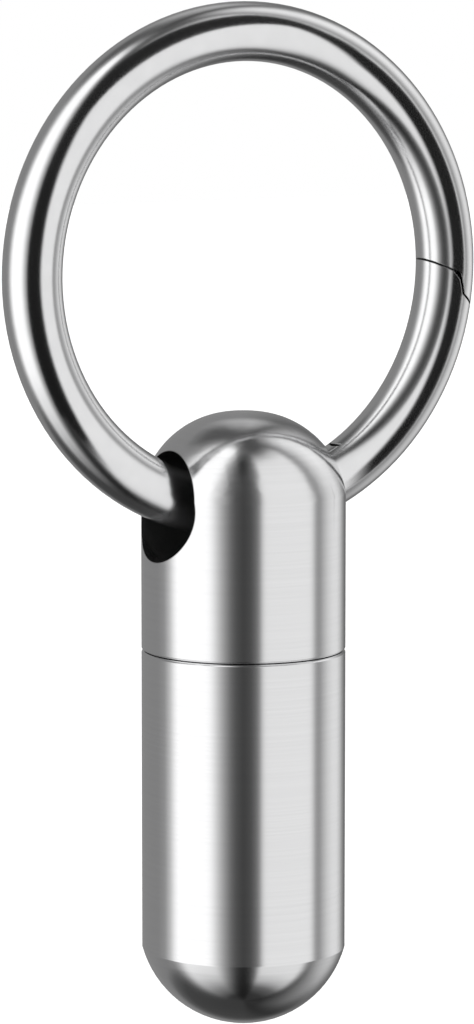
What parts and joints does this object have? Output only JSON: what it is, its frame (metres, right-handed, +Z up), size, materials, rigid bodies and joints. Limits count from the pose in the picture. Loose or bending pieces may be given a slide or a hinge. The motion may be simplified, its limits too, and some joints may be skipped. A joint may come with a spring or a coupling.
{
  "type": "pill fob keychain",
  "caption": "Turned steel capsule fob with a sealed screw-off cup, hung by its cross bore on a round-wire key ring with a spring-loaded gate.",
  "frame": {"origin": "centre of the key ring", "axes": "+Z up along the fob's axis, the fob hanging towards -Z; +X towards the ring's gate; +Y along the ring's own axis, away from the front"},
  "size_m": [0.033, 0.0126, 0.0637],
  "materials": {
    "ring_steel": "polished",
    "fob_steel": "turned and polished, with faint tool lines round it",
    "pin_steel": "ground",
    "spring_steel": "drawn wire",
    "seal_rubber": "matt"
  },
  "bodies": {
    "ring": {"ring_body": "ring_steel"},
    "gate": {"ring_gate": "ring_steel", "hinge_pin": "pin_steel", "gate_spring": "spring_steel"},
    "plunger": {"gate_plunger": "pin_steel"},
    "cap": {"fob_cap": "fob_steel"},
    "seal": {"cap_seal": "seal_rubber"},
    "cup": {"fob_cup": "fob_steel"}
  },
  "joints": [
    {"name": "gate_hinge", "type": "hinge", "parent": "ring", "child": "gate", "pos_m": [0.00654, 0, -0.01311], "axis": [0, -1, 0], "range_deg": [0, 26], "stiffness_Nm_per_rad": 0.004, "springref_deg": -32.66},
    {"name": "plunger_slide", "type": "slide", "parent": "gate", "child": "plunger", "axis": [0.8434, 0, 0.5373], "range_m": [0, 0.00052], "deforming": ["gate_spring"]},
    {"name": "fob_swing", "type": "hinge", "parent": "ring", "child": "cap", "pos_m": [0, 0, -0.01435], "axis": [1, 0, 0], "range_deg": [-120, 120]},
    {"name": "cup_turn", "type": "hinge", "parent": "cap", "child": "seal", "pos_m": [0, 0, -0.0236], "axis": [0, 0, -1], "range_deg": [0, 2160]},
    {"name": "cup_travel", "type": "slide", "parent": "seal", "child": "cup", "axis": [0, 0, -1], "range_m": [0, 0.006]}
  ],
  "couplings": [
    {"joint": "plunger_slide", "follows": "gate_hinge", "m_per_rad": 0.0011428},
    {"joint": "cup_turn", "follows": "cup_travel", "rad_per_m": 6283.2}
  ]
}
